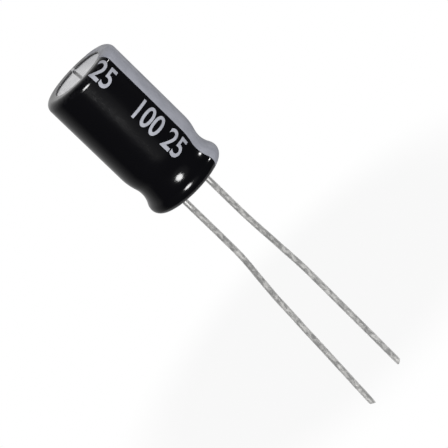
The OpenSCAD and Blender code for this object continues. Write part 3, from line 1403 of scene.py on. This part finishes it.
@dataclass(frozen=True)
class Lamp:
    """A round lamp, placed round the camera by the glints that the photograph shows."""

    name: str
    aside: float
    above: float
    across: float
    radiance: float
    distance: float = 400.0
    aim_height: float = 5.0

    def build(self, camera: PhotoCamera) -> None:
        """Makes the lamp.

        Args:
            camera: The camera that it is placed by.
        """
        place = camera.toward(self.aside, self.above)
        size = 2 * self.distance * math.tan(math.radians(self.across / 2)) * MM
        data = bpy.data.lights.new(self.name, "AREA")
        data.shape = "DISK"
        data.size = size
        data.energy = self.radiance * math.pi * math.pi * (size / 2) ** 2
        lamp = put(self.name, data)
        lamp.location = place * self.distance * MM + Vector((0.0, 0.0, self.aim_height * MM))
        lamp.rotation_euler = place.to_track_quat("Z", "Y").to_euler()
        lamp.visible_camera = False


@dataclass(frozen=True)
class Studio:
    """A white wall behind the part and a darker room in front, on a pale floor."""

    wall: float = 0.82
    wall_rise: float = 0.73
    wall_middle: float = 0.85
    wall_least: float = 0.2
    room: float = 0.02
    glow: float = 0.13
    glow_from: float = 0.86
    glow_soft: float = 0.08
    ambient: float = 0.38
    floor_under: float = 0.02
    floor_radius: float = 28.0
    floor_behind: float = 22.0
    floor_white: float = 0.9
    floor_fade: Limits = (0.55, 0.97)
    lamps: tuple[Lamp, ...] = (
        Lamp("key_lamp", aside=-8.0, above=5.5, across=22.0, radiance=22.0),
        Lamp("side_lamp", aside=84.0, above=4.0, across=5.5, radiance=60.0),
    )

    def surroundings(self, camera: PhotoCamera) -> None:
        """Makes the world: white to the camera, a wall behind the part to its mirrors, and soft
        even light to the rest.

        Args:
            camera: The camera, which looks at the wall.
        """
        world = bpy.data.worlds.new("studio")
        bpy.context.scene.world = world
        world.use_nodes = True
        mix = Wiring(world.node_tree)
        way = mix.add("ShaderNodeTexCoord").outputs["Generated"]
        rise = mix.add("ShaderNodeSeparateXYZ", way).outputs["Z"]
        look = mix.add("ShaderNodeVectorMath", way, tuple(camera.away), operation="DOT_PRODUCT")
        ahead = look.outputs["Value"]
        level = mix.plus(mix.times(rise, self.wall_rise), self.wall_middle)
        wall = mix.times(ahead, self.wall, mix.least(mix.most(level, self.wall_least), 1.0))
        front = mix.times(mix.plus(ahead, self.glow_from), -self.glow / self.glow_soft)
        glow = mix.most(mix.least(front, self.glow), self.room)
        mirror = mix.minus(mix.most(wall, glow), self.ambient)
        rays = mix.add("ShaderNodeLightPath").outputs
        mirrors = mix.most(rays["Is Glossy Ray"], rays["Is Transmission Ray"])
        part = mix.plus(mix.times(mirrors, mirror), self.ambient)
        background = mix.tree.nodes["Background"].inputs
        mix.join(mix.most(part, rays["Is Camera Ray"]), background["Strength"])
        mix.join((1.0, 1.0, 1.0, 1.0), background["Color"])

    def floor(self, camera: PhotoCamera) -> None:
        """Makes the floor: pale, with the part's shadow, and white toward its rim.

        Args:
            camera: The camera. The floor lies under the part and away from it.
        """
        level = CAD_BOX[0].z / MM - self.floor_under
        make = Maker()
        make.lathe([(r, level) for r in (0.01, 4.0, 10.0, 20.0, self.floor_radius)], 96)
        floor = make.piece("floor", rides=False)
        floor.location = camera.away * self.floor_behind * MM
        mix = Recipe("pale_floor", Roughness=0.7)
        paper = mix.blend(mix.grain(0.8, detail=4.0), (0.78, 0.78, 0.78), (0.82, 0.82, 0.82))
        mix.join(paper, mix.shader.inputs["Base Color"])
        start, end = (part * self.floor_radius for part in self.floor_fade)
        white = mix.spread(mix.reach(), start, end, self.floor_white, 1.0)
        shown = mix.times(white, mix.add("ShaderNodeLightPath").outputs["Is Camera Ray"])
        glow = mix.add("ShaderNodeEmission").outputs[0]
        blend = mix.add("ShaderNodeMixShader", shown, mix.shader.outputs[0], glow)
        mix.join(blend.outputs[0], mix.tree.nodes["Material Output"].inputs["Surface"])
        floor.data.materials.append(mix.material)

    def build(self, camera: PhotoCamera) -> None:
        """Makes the world, the floor and the lamps.

        Args:
            camera: The camera that they are placed by.
        """
        self.surroundings(camera)
        self.floor(camera)
        for lamp in self.lamps:
            lamp.build(camera)


def main() -> None:
    """Builds the capacitor, and then the studio round it."""
    logging.basicConfig(level=logging.INFO, format="%(name)s: %(message)s")
    bpy.context.scene.view_settings.view_transform = "Standard"
    camera = PhotoCamera()
    camera.build()
    section = CanSection()
    skin = CanSection(foot_corner=0.54, bead_depth=0.51, lower_shoulder=0.74, film_bridge=2.0)
    PrintedSleeve(skin, section).build()
    DrawnCan(section).build()
    SealPlug(section).build()
    tinned = TinnedWire().material()
    leads = (
        WireLead(Side.ANODE, "anode_lead", run=5.4, lean=-6.5, mid_run=2.4, back=3.0, length=22.45),
        WireLead(Side.CATHODE, "cathode_lead", run=4.4, lean=2.7, mid_run=5.3, back=-3.3, length=22.05),
    )
    for lead in leads:
        lead.build(tinned)
    WoundElement(frame["nodes"]).build()
    Studio().build(camera)


if __name__ == "__main__":
    main()
